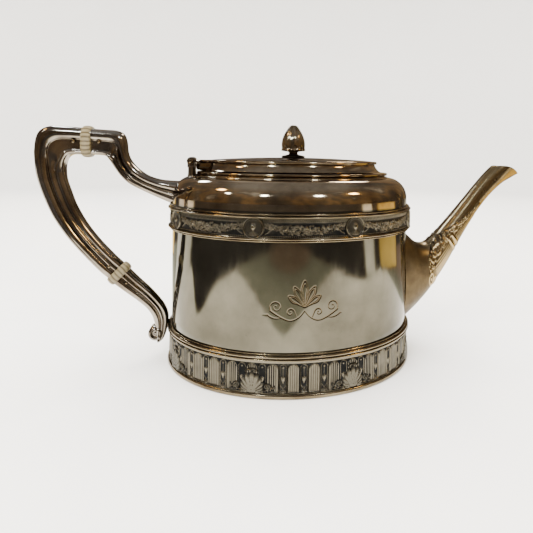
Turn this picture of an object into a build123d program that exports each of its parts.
"""Oval silver-plated teapot with a hinged lid, a leaf-moulded spout and an insulated handle.

Millimetres, +Z up. The origin is the centre of the body's oval, on the plane the foot stands on.
The spout points along +X, the handle along -X, and the lid's hinge is on the handle side.
"""
from build123d import *
import os
from math import atan2, cos, degrees, pi, radians, sin, sqrt

os.makedirs("parts", exist_ok=True)

# ---------------------------------------------------------------- driving dimensions
body_half_length = 66.0
body_half_width = 55.0
sheet = 1.1                    # thickness of the raised silver sheet

foot_rim_height = 2.4
foot_rim_projection = 1.8
foot_rim_rounding = 0.7
foot_frieze_top = 17.6
foot_height = 20.8
foot_projection = 1.2          # how far the foot's frieze stands out from the wall
bottom_height = 4.0            # underside of the pot's bottom plate

border_bottom = 71.8
border_frieze_bottom = 74.2
border_frieze_top = 82.9
border_top = 85.2
border_projection = 1.5
moulding_root = 0.6            # flat step beside each half-round moulding
foot_moulding_projection = 1.6
lower_moulding_projection = 1.7
top_moulding_projection = 1.8
relief_height = 0.9            # how far palmettes and medallions stand out from their frieze
relief_sink = 3.0              # how deep their blanks start behind the frieze
relief_cut = 8.0               # length of those blanks

wall_top = 86.0
roll_start = 89.0              # where the shoulder begins to turn in
roll_width = 10.5
roll_height = 11.0
mouth_offset = -12.2           # outline of the mouth, measured inwards from the body's outline
collar_thickness = 1.2
collar_rise = 1.2              # how far the collar stands above the shoulder

lid_centre = 0.8
lid_gap = 0.1                  # between the collar and the closed lid
flange_offset = -11.8
flange_thickness = 1.4
plate_offset = -18.5
plate_bottom = 107.3
plate_edge_top = 109.0
plate_rise = 1.8               # crown of the lid's top plate
bezel_offset = -15.2
bezel_depth = 3.7
bezel_thickness = 0.8
cove_top_offset = -19.6

hinge_x = -56.0
hinge_z = 108.2
knuckle_radius = 2.25
hinge_pin_radius = 1.0
hinge_pin_head_radius = 1.5
hinge_pin_head_height = 0.9
knuckle_clearance = 0.05       # radial clearance of the pin in the lid's knuckle
centre_knuckle_half = 2.6
hinge_half_width = 8.0
hinge_side_gap = 0.3

finial_foot_radius = 6.6
finial_neck_radius = 3.6
finial_radius = 6.4
finial_foot_top = 112.6
finial_bud_bottom = 115.0
finial_top = 129.5
stud_radius = 1.5
stud_hole_radius = 1.6
stud_bite = 6.0                # how far the stud screws into the finial
nut_radius = 3.4
nut_bottom = 104.2

handle_width = 11.2
lower_half_width = 4.6         # half the handle's width at its lower joint
lower_pin_proud = 0.3          # how far the lower pins' shanks stand out of the handle
tenon_length = 8.0
tenon_depth = 7.0
tenon_width = 5.6
pin_radius = 1.0
pin_head_radius = 1.7
pin_head_height = 0.8
pin_setback = 4.0              # from an insulator's face to the pin beside it
handle_top_z = 118.0           # middle of the handle's level top
upper_joint_x = -111.4
lower_joint_x = -94.4
lower_joint_z = 46.3
upper_ring_half = 2.9          # half the thickness of each bone ring, along the handle
lower_ring_half = 2.4
upper_ring_depth = 17.0
upper_ring_width = 13.4
lower_ring_depth = 13.4
lower_ring_width = 11.2

palmette_count = 8
palmette_width = 13.0
palmette_height = 12.0
palmette_shoulder = 8.2        # where the palmette's fan starts to close
medallion_count = 8
medallion_radius = 4.3

shoulder_top = roll_start + roll_height
collar_top = shoulder_top + collar_rise
flange_bottom = collar_top + lid_gap
flange_top = flange_bottom + flange_thickness


# ---------------------------------------------------------------- shared shapes
def oval_form(profile, centre=0.0):
    """Filled form through level ovals. Each profile entry is an offset from the outline and a height."""
    with BuildPart() as form:
        for offset_out, height in profile:
            with BuildSketch(Plane((centre, 0, height))):
                Ellipse(body_half_length + offset_out, body_half_width + offset_out)
        loft()
    return form.part


def oval_slab(offset_out, bottom, top, centre=0.0):
    """Straight-sided oval slab."""
    with BuildPart() as slab:
        with BuildSketch(Plane((centre, 0, bottom))):
            Ellipse(body_half_length + offset_out, body_half_width + offset_out)
        extrude(amount=top - bottom)
    return slab.part


def oval_band(inner, outer, bottom, top, centre=0.0):
    """Straight-sided oval ring between two offsets."""
    with BuildPart() as band:
        with BuildSketch(Plane((centre, 0, bottom))):
            Ellipse(body_half_length + outer, body_half_width + outer)
            Ellipse(body_half_length + inner, body_half_width + inner, mode=Mode.SUBTRACT)
        extrude(amount=top - bottom)
    return band.part


def moulding_form(projection, bottom, top):
    """Filled oval with a half-round edge, standing out from a small root by projection."""
    middle = (bottom + top) / 2
    half_height = (top - bottom) / 2
    turns = [radians(a) for a in (-90, -60, -30, 0, 30, 60, 90)]
    return oval_form([(moulding_root + projection * cos(a), middle + half_height * sin(a)) for a in turns])


def ring_on_wall(form):
    """Keeps the part of a filled form that stands outside the body's wall."""
    with BuildPart() as ring:
        add(form)
        add(wall_core, mode=Mode.SUBTRACT)
    return ring.part


def outline_plane(share, offset_out, height):
    """Plane facing outwards on the oval, at a share of a full turn from the front centre."""
    a = body_half_length + offset_out
    b = body_half_width + offset_out
    steps = 720
    points = [(a * sin(2 * pi * k / steps), -b * cos(2 * pi * k / steps)) for k in range(steps + 1)]
    lengths = [0.0]
    for (x0, y0), (x1, y1) in zip(points, points[1:]):
        lengths.append(lengths[-1] + sqrt((x1 - x0) ** 2 + (y1 - y0) ** 2))
    wanted = (share % 1.0) * lengths[-1]
    nearest = min(range(steps + 1), key=lambda k: abs(lengths[k] - wanted))
    x, y = points[nearest]
    normal = Vector(x / a ** 2, y / b ** 2, 0).normalized()
    return Plane(origin=(x, y, height), x_dir=normal.cross(Vector(0, 0, -1)), z_dir=normal)


def handle_plane(x, z, heading):
    """Plane across the handle: local X is the handle's depth, local Y its width, local Z the heading."""
    turn = radians(heading)
    return Plane(origin=(x, 0, z), x_dir=(-sin(turn), 0, cos(turn)), z_dir=(cos(turn), 0, sin(turn)))


def fitted(form, cutters):
    """The main solid of a form once the cutters are taken from it, without stray slivers."""
    with BuildPart() as piece:
        add(form)
        for cutter in cutters:
            add(cutter, mode=Mode.SUBTRACT)
    return piece.part.solids().sort_by(SortBy.VOLUME)[-1]


def save(block, name):
    """Labels a finished piece and writes it."""
    block.part.label = name
    export_step(block.part, "parts/" + name + ".step")


wall_core = oval_slab(0, 0, roll_start)
foot_moulding_form = moulding_form(foot_moulding_projection, foot_frieze_top, foot_height)
border_lower_form = moulding_form(lower_moulding_projection, border_bottom, border_frieze_bottom)
border_top_form = moulding_form(top_moulding_projection, border_frieze_top, border_top)

# ---------------------------------------------------------------- foot
with BuildPart() as foot_rim:
    with BuildSketch():
        Ellipse(body_half_length + foot_rim_projection, body_half_width + foot_rim_projection)
        Ellipse(body_half_length - sheet, body_half_width - sheet, mode=Mode.SUBTRACT)
    extrude(amount=foot_rim_height)
    fillet(foot_rim.edges().group_by(Axis.Z)[-1].sort_by(SortBy.LENGTH)[-1], foot_rim_rounding)
save(foot_rim, "foot_rim")

with BuildPart() as foot_frieze:
    add(oval_band(0, foot_projection, foot_rim_height, foot_frieze_top))
save(foot_frieze, "foot_frieze")

with BuildPart() as foot_top_moulding:
    add(ring_on_wall(foot_moulding_form))
save(foot_top_moulding, "foot_top_moulding")

palmette_bottom = foot_rim_height + 0.3
palmette_front = foot_projection + relief_height
palmette_shell = oval_band(foot_projection, palmette_front, palmette_bottom, foot_frieze_top - 2)
with BuildPart() as palmettes:
    for k in range(palmette_count):
        share = (2 * k + 1) / (2 * palmette_count)
        with BuildSketch(outline_plane(share, foot_projection - relief_sink, palmette_bottom)):
            with BuildLine():
                half = palmette_width / 2
                left_side = (-half * 0.75, palmette_shoulder)
                right_side = (half * 0.75, palmette_shoulder)
                crown = Spline((-half, 2.5), left_side, (0, palmette_height), right_side, (half, 2.5))
                Polyline(crown @ 1, (half * 0.5, 0), (-half * 0.5, 0), crown @ 0)
            make_face()
        extrude(amount=relief_cut)
    add(palmette_shell, mode=Mode.INTERSECT)
save(palmettes, "palmettes")

# ---------------------------------------------------------------- body
strainer_middle = 43.0
strainer_pitch = 5.2
strainer_radius = 1.6
strainer_x = body_half_length - 12
strainer_plane = Plane(origin=(strainer_x, 0, strainer_middle), x_dir=(0, 1, 0), z_dir=(1, 0, 0))
with BuildPart() as body_wall:
    with BuildSketch(Plane.XY.offset(foot_rim_height)):
        Ellipse(body_half_length, body_half_width)
        Ellipse(body_half_length - sheet, body_half_width - sheet, mode=Mode.SUBTRACT)
    extrude(amount=wall_top - foot_rim_height)
    with BuildSketch(strainer_plane):
        with HexLocations(strainer_pitch / sqrt(3), 3, 5):
            Circle(strainer_radius)
    extrude(amount=20, mode=Mode.SUBTRACT)
save(body_wall, "body_wall")

with BuildPart() as body_bottom:
    add(oval_slab(-sheet, bottom_height, bottom_height + sheet))
save(body_bottom, "body_bottom")

# ---------------------------------------------------------------- upper border
with BuildPart() as border_lower_moulding:
    add(ring_on_wall(border_lower_form))
save(border_lower_moulding, "border_lower_moulding")

with BuildPart() as border_frieze:
    add(oval_band(0, border_projection, border_frieze_bottom, border_frieze_top))
save(border_frieze, "border_frieze")

with BuildPart() as border_top_moulding:
    add(ring_on_wall(border_top_form))
save(border_top_moulding, "border_top_moulding")

medallion_shell = oval_band(border_projection, border_projection + relief_height, border_bottom, border_top)
border_middle = (border_frieze_bottom + border_frieze_top) / 2
with BuildPart() as medallions:
    for k in range(medallion_count):
        share = (2 * k + 1) / (2 * medallion_count)
        with BuildSketch(outline_plane(share, border_projection - relief_sink, border_middle)):
            Circle(medallion_radius)
        extrude(amount=relief_cut)
    add(medallion_shell, mode=Mode.INTERSECT)
save(medallions, "medallions")

# ---------------------------------------------------------------- shoulder and collar
roll_turns = [radians(a) for a in range(0, 91, 15)]


def roll_profile(inset):
    """Section of the shoulder's quarter roll, inset from its outer face."""
    return [
        (-roll_width + (roll_width - inset) * cos(a), roll_start + (roll_height - inset) * sin(a))
        for a in roll_turns
    ]


collar_foot = shoulder_top - 3.0
shoulder_form = oval_form(roll_profile(0.0))
shoulder_hollow = oval_form(roll_profile(sheet))
with BuildPart() as shoulder:
    add(oval_slab(0, wall_top, roll_start))
    add(shoulder_form)
    add(oval_slab(-sheet, wall_top, roll_start), mode=Mode.SUBTRACT)
    add(shoulder_hollow, mode=Mode.SUBTRACT)
    with BuildSketch(Plane.XY.offset(shoulder_top - 5)):
        Ellipse(body_half_length + mouth_offset, body_half_width + mouth_offset)
    extrude(amount=10, mode=Mode.SUBTRACT)
save(shoulder, "shoulder")

with BuildPart() as collar:
    add(oval_band(mouth_offset - collar_thickness, mouth_offset, collar_foot, collar_top))
save(collar, "collar")

# everything of the pot's outside that the spout, handle and hinge post are fitted against
pot_outside = [
    wall_core,
    shoulder_form,
    oval_slab(border_projection, border_frieze_bottom, border_frieze_top),
    border_lower_form,
    border_top_form,
    oval_slab(foot_projection, 0, foot_frieze_top),
    foot_moulding_form,
]

# ---------------------------------------------------------------- spout
# each station: x, z, heading, half depth, half width
spout_stations = [
    (61.0, 43.0, 0, 26.0, 15.5),
    (70.0, 43.5, 4, 19.8, 13.0),
    (79.0, 46.5, 20, 14.4, 10.5),
    (88.0, 55.0, 38, 9.6, 8.0),
    (98.0, 68.6, 53, 6.2, 6.0),
    (111.0, 85.8, 52, 5.3, 5.0),
    (127.7, 103.4, 36, 6.4, 5.4),
    (138.7, 108.6, 24, 7.0, 6.0),
]
mouth_back = (124.0, 107.2)
mouth_tip = (140.6, 102.8)
mouth_cut = 40.0               # size of the block that trims the spout at its mouth


def spout_form(inset):
    """Spout filled solid, inset from its outer face, running on past the mouth."""
    with BuildPart() as form:
        for x, z, heading, half_depth, half_width in spout_stations:
            with BuildSketch(handle_plane(x, z, heading)):
                Ellipse(half_depth - inset, half_width - inset)
        loft()
    return form.part


spout_outside = spout_form(0.0)
spout_channel = spout_form(sheet)
mouth_slope = degrees(atan2(mouth_tip[1] - mouth_back[1], mouth_tip[0] - mouth_back[0]))
mouth_x = (mouth_back[0] + mouth_tip[0]) / 2
mouth_z = (mouth_back[1] + mouth_tip[1]) / 2
mouth_plane = handle_plane(mouth_x, mouth_z, mouth_slope + 90)
with BuildPart() as spout:
    add(spout_outside)
    add(spout_channel, mode=Mode.SUBTRACT)
    with BuildSketch(mouth_plane):
        Rectangle(mouth_cut, mouth_cut)
    extrude(amount=mouth_cut / 2, mode=Mode.SUBTRACT)
    for form in pot_outside:
        add(form, mode=Mode.SUBTRACT)
save(spout, "spout")

# ---------------------------------------------------------------- handle
upper_joint = handle_plane(upper_joint_x, handle_top_z, 180)
lower_joint = handle_plane(lower_joint_x, lower_joint_z, -45)


def tenons(joint, ring_half):
    """Blind tenons on both sides of an insulator ring."""
    with BuildPart() as pair:
        with BuildSketch(joint):
            RectangleRounded(tenon_depth, tenon_width, 1.0)
        extrude(amount=ring_half + tenon_length, both=True)
    return pair.part


def pin_plane(joint, along):
    """Plane of the handle's middle, at a pin that crosses the joint at a distance along it."""
    place = joint.origin + joint.z_dir * along
    return Plane(origin=place, x_dir=(1, 0, 0), z_dir=(0, -1, 0))


def cross_pins(joint, ring_half, half_width):
    """A domed pin through each tenon, from one face of the handle to the other."""
    with BuildPart() as pins:
        for along in (-ring_half - pin_setback, ring_half + pin_setback):
            with BuildSketch(pin_plane(joint, along)):
                Circle(pin_radius)
            extrude(amount=half_width, both=True)
            for side in (-1, 1):
                with BuildSketch(pin_plane(joint, along).offset(side * half_width)):
                    Circle(pin_head_radius)
                extrude(amount=side * pin_head_height, taper=20)
    return pins.part


def insulator(joint, ring_half, depth, width):
    """Bone ring with rounded edges."""
    with BuildPart() as ring:
        with BuildSketch(joint):
            RectangleRounded(depth, width, width * 0.35)
        extrude(amount=ring_half, both=True)
        fillet(ring.edges().group_by(SortBy.LENGTH)[-1], ring_half * 0.45)
    return ring.part


upper_tenons = tenons(upper_joint, upper_ring_half)
lower_tenons = tenons(lower_joint, lower_ring_half)
upper_pins = cross_pins(upper_joint, upper_ring_half, handle_width / 2)
lower_pins = cross_pins(lower_joint, lower_ring_half, lower_half_width + lower_pin_proud)
upper_ring = insulator(upper_joint, upper_ring_half, upper_ring_depth, upper_ring_width)
lower_ring = insulator(lower_joint, lower_ring_half, lower_ring_depth, lower_ring_width)

# each station: x, z, heading, depth, width
upper_socket_stations = [
    (-108.5, handle_top_z, 0, 14.4, handle_width),
    (-102.0, 117.8, -3, 14.4, handle_width),
    (-96.2, 115.8, -31, 16.4, handle_width),
    (-92.3, 105.4, -60, 10.4, 10.6),
    (-86.0, 98.6, -39, 9.4, 10.2),
    (-77.3, 94.4, -22, 9.4, 10.0),
    (-69.0, 91.2, -9, 12.2, 10.6),
    (-61.0, 89.4, -4, 13.0, 11.0),
]
grip_elbow_stations = [
    (-114.3, handle_top_z, 180, 14.6, handle_width),
    (-120.0, handle_top_z, 184, 14.6, handle_width),
    (-128.2, 115.6, 225, 16.8, handle_width),
    (-130.8, 106.0, 268, 14.8, handle_width),
]
grip_leg_stations = [
    (-130.8, 106.0, 268, 14.8, handle_width),
    (-129.0, 96.0, 284, 14.4, handle_width),
    (-122.7, 81.0, 297, 13.6, 10.6),
    (-111.9, 64.8, 309, 12.2, 10.0),
    (-96.1, 48.0, 315, 11.2, 2 * lower_half_width),
]
lower_socket_stations = [
    (-92.7, 44.6, -45, 11.2, 2 * lower_half_width),
    (-86.4, 38.6, -46, 11.0, 9.2),
    (-79.8, 32.4, -50, 9.8, 9.0),
    (-72.8, 25.6, -42, 8.6, 9.0),
    (-60.0, 17.0, -32, 9.4, 9.0),
]
scroll_x = -74.0
scroll_z = 12.7
scroll_radius = 4.4
scroll_half_width = 3.8
scroll_top = 29.0              # where the scroll's tail leaves the handle's lower bar


def handle_bar(stations):
    """Softly squared bar through stations across the handle."""
    with BuildPart() as bar:
        for x, z, heading, depth, width in stations:
            with BuildSketch(handle_plane(x, z, heading)):
                RectangleRounded(depth, width, min(depth, width) * 0.3)
        loft()
    return bar.part


grip_elbow = handle_bar(grip_elbow_stations)
grip_leg = handle_bar(grip_leg_stations)
upper_socket_form = handle_bar(upper_socket_stations)
lower_socket_form = handle_bar(lower_socket_stations)

with BuildPart() as handle_grip:
    add(grip_elbow)
    add(grip_leg)
    for piece in (upper_tenons, lower_tenons, upper_pins, lower_pins):
        add(piece, mode=Mode.SUBTRACT)
save(handle_grip, "handle_grip")

upper_socket_solid = fitted(upper_socket_form, pot_outside + [upper_tenons, upper_pins])
with BuildPart() as handle_upper_socket:
    add(upper_socket_solid)
save(handle_upper_socket, "handle_upper_socket")

with BuildPart() as handle_lower_socket:
    add(lower_socket_form)
    with BuildSketch(Plane.XZ):
        with BuildLine():
            scroll_side = (scroll_x - scroll_radius, scroll_z)
            outer = Spline((scroll_x - 6.0, scroll_top), (scroll_x - 2.2, 20.5), scroll_side)
            inner = [(scroll_x, scroll_z), (scroll_x + 3.2, 21.0), (scroll_x + 1.0, scroll_top)]
            Polyline(outer @ 1, *inner, outer @ 0)
        make_face()
        with Locations((scroll_x, scroll_z)):
            Circle(scroll_radius)
    extrude(amount=scroll_half_width, both=True)
    for form in pot_outside:
        add(form, mode=Mode.SUBTRACT)
    for piece in (lower_tenons, lower_pins):
        add(piece, mode=Mode.SUBTRACT)
save(handle_lower_socket, "handle_lower_socket")

with BuildPart() as upper_insulator:
    add(upper_ring)
    add(upper_tenons)
    add(upper_pins, mode=Mode.SUBTRACT)
save(upper_insulator, "upper_insulator")

with BuildPart() as lower_insulator:
    add(lower_ring)
    add(lower_tenons)
    add(lower_pins, mode=Mode.SUBTRACT)
save(lower_insulator, "lower_insulator")

with BuildPart() as upper_insulator_pins:
    add(upper_pins)
save(upper_insulator_pins, "upper_insulator_pins")

with BuildPart() as lower_insulator_pins:
    add(lower_pins)
save(lower_insulator_pins, "lower_insulator_pins")

# ---------------------------------------------------------------- hinge
hinge_plane = Plane(origin=(hinge_x, 0, hinge_z), x_dir=(1, 0, 0), z_dir=(0, -1, 0))
outer_knuckle_start = centre_knuckle_half + hinge_side_gap
outer_knuckle_length = hinge_half_width - outer_knuckle_start
post_left = hinge_x - 2.2
post_right = hinge_x + 1.9
post_foot = shoulder_top - 3
saddle_top = hinge_z - knuckle_radius - 0.5
cheek_width = 3.9              # width and depth of the cheeks that carry the outer knuckles
cheek_depth = 5.0

with BuildPart() as hinge_post:
    with BuildSketch(Plane.XY.offset(post_foot)):
        with Locations(((post_left + post_right) / 2, 0)):
            RectangleRounded(post_right - post_left, 2 * hinge_half_width, 1.0)
    extrude(amount=saddle_top - post_foot)
    for side in (-1, 1):
        with BuildSketch(hinge_plane.offset(side * outer_knuckle_start)):
            Circle(knuckle_radius)
            with Locations((0, -cheek_depth / 2)):
                Rectangle(cheek_width, cheek_depth)
        extrude(amount=side * outer_knuckle_length)
    with BuildSketch(hinge_plane):
        Circle(hinge_pin_radius)
    extrude(amount=hinge_half_width + 1, both=True, mode=Mode.SUBTRACT)
    for form in pot_outside:
        add(form, mode=Mode.SUBTRACT)
save(hinge_post, "hinge_post")

with BuildPart() as hinge_pin:
    with BuildSketch(hinge_plane):
        Circle(hinge_pin_radius)
    extrude(amount=hinge_half_width, both=True)
    for side in (-1, 1):
        with BuildSketch(hinge_plane.offset(side * hinge_half_width)):
            Circle(hinge_pin_head_radius)
        extrude(amount=side * hinge_pin_head_height, taper=25)
save(hinge_pin, "hinge_pin")

# ---------------------------------------------------------------- lid
cove_outer = [(-13.6, flange_top), (-17.0, 103.9), (-19.0, 105.7), (cove_top_offset, plate_bottom)]
cove_inner = [(offset_out - sheet, height - 0.4) for offset_out, height in cove_outer]
cove_top_hollow = cove_top_offset - sheet
crown_shares = (1.0, 0.8, 0.6, 0.4, 0.2)
lid_inside_top = plate_bottom + 0.6

cove_form = oval_form(cove_outer, lid_centre)
cove_hollow = oval_form(cove_inner, lid_centre)
with BuildPart() as lid:
    add(cove_form)
    add(oval_slab(plate_offset, plate_bottom, plate_edge_top, lid_centre))
    for share in crown_shares:
        with BuildSketch(Plane((lid_centre, 0, plate_edge_top + plate_rise * (1 - share ** 2)))):
            Ellipse((body_half_length + plate_offset) * share, (body_half_width + plate_offset) * share)
    loft()
    add(cove_hollow, mode=Mode.SUBTRACT)
    add(oval_slab(cove_top_hollow, plate_bottom - 0.6, lid_inside_top, lid_centre), mode=Mode.SUBTRACT)
    with BuildSketch(Plane((lid_centre, 0, plate_bottom - 1))):
        Circle(stud_hole_radius)
    extrude(amount=6, mode=Mode.SUBTRACT)
save(lid, "lid")

with BuildPart() as lid_flange:
    with BuildSketch(Plane((lid_centre, 0, flange_bottom))):
        Ellipse(body_half_length + flange_offset, body_half_width + flange_offset)
        Ellipse(body_half_length + bezel_offset - 1, body_half_width + bezel_offset - 1, mode=Mode.SUBTRACT)
    extrude(amount=flange_thickness)
    fillet(lid_flange.edges().group_by(Axis.Z)[-1].sort_by(SortBy.LENGTH)[-1], 0.6)
save(lid_flange, "lid_flange")

with BuildPart() as lid_bezel:
    bezel_inner = bezel_offset - bezel_thickness
    add(oval_band(bezel_inner, bezel_offset, flange_bottom - bezel_depth, flange_bottom, lid_centre))
save(lid_bezel, "lid_bezel")

arm_thickness = 1.6
arm_end = lid_centre - (body_half_length + plate_offset)
with BuildPart() as lid_hinge_arm:
    with BuildSketch(hinge_plane):
        Circle(knuckle_radius)
        with Locations(((arm_end - hinge_x) / 2, 0)):
            Rectangle(arm_end - hinge_x + 2, arm_thickness)
    extrude(amount=centre_knuckle_half, both=True)
    with BuildSketch(hinge_plane):
        Circle(hinge_pin_radius + knuckle_clearance)
    extrude(amount=centre_knuckle_half + 1, both=True, mode=Mode.SUBTRACT)
    add(oval_slab(plate_offset, plate_bottom, plate_edge_top, lid_centre), mode=Mode.SUBTRACT)
    add(cove_form, mode=Mode.SUBTRACT)
save(lid_hinge_arm, "lid_hinge_arm")

# ---------------------------------------------------------------- finial
crown_top = plate_edge_top + plate_rise
with BuildPart() as finial_base:
    with BuildSketch(Plane((lid_centre, 0, crown_top))):
        Circle(finial_foot_radius)
    extrude(amount=finial_foot_top - crown_top)
    fillet(finial_base.edges().group_by(Axis.Z)[-1], 0.8)
    with BuildSketch(Plane((lid_centre, 0, crown_top))):
        Circle(stud_radius)
    extrude(amount=5, mode=Mode.SUBTRACT)
save(finial_base, "finial_base")

bud_height = finial_top - finial_bud_bottom
with BuildPart() as finial:
    with BuildSketch(Plane.XZ.move(Location((lid_centre, 0, 0)))):
        with BuildLine():
            neck = Polyline((0, finial_foot_top), (finial_neck_radius + 0.8, finial_foot_top),
                            (finial_neck_radius, finial_foot_top + 1.0),
                            (finial_neck_radius, finial_bud_bottom - 0.4))
            bud = Spline(neck @ 1, (finial_radius * 0.96, finial_bud_bottom + bud_height * 0.16),
                         (finial_radius, finial_bud_bottom + bud_height * 0.36),
                         (finial_radius * 0.7, finial_bud_bottom + bud_height * 0.76), (0, finial_top))
            Line(bud @ 1, neck @ 0)
        make_face()
    revolve(axis=Axis((lid_centre, 0, 0), (0, 0, 1)))
    with BuildSketch(Plane((lid_centre, 0, finial_foot_top))):
        Circle(stud_radius)
    extrude(amount=stud_bite, mode=Mode.SUBTRACT)
save(finial, "finial")

stud_bottom = nut_bottom - 0.6
with BuildPart() as finial_stud:
    with BuildSketch(Plane((lid_centre, 0, stud_bottom))):
        Circle(stud_radius)
    extrude(amount=finial_foot_top + stud_bite - stud_bottom)
save(finial_stud, "finial_stud")

with BuildPart() as finial_nut:
    with BuildSketch(Plane((lid_centre, 0, nut_bottom))):
        RegularPolygon(nut_radius, 6)
        Circle(stud_radius, mode=Mode.SUBTRACT)
    extrude(amount=lid_inside_top - nut_bottom)
save(finial_nut, "finial_nut")
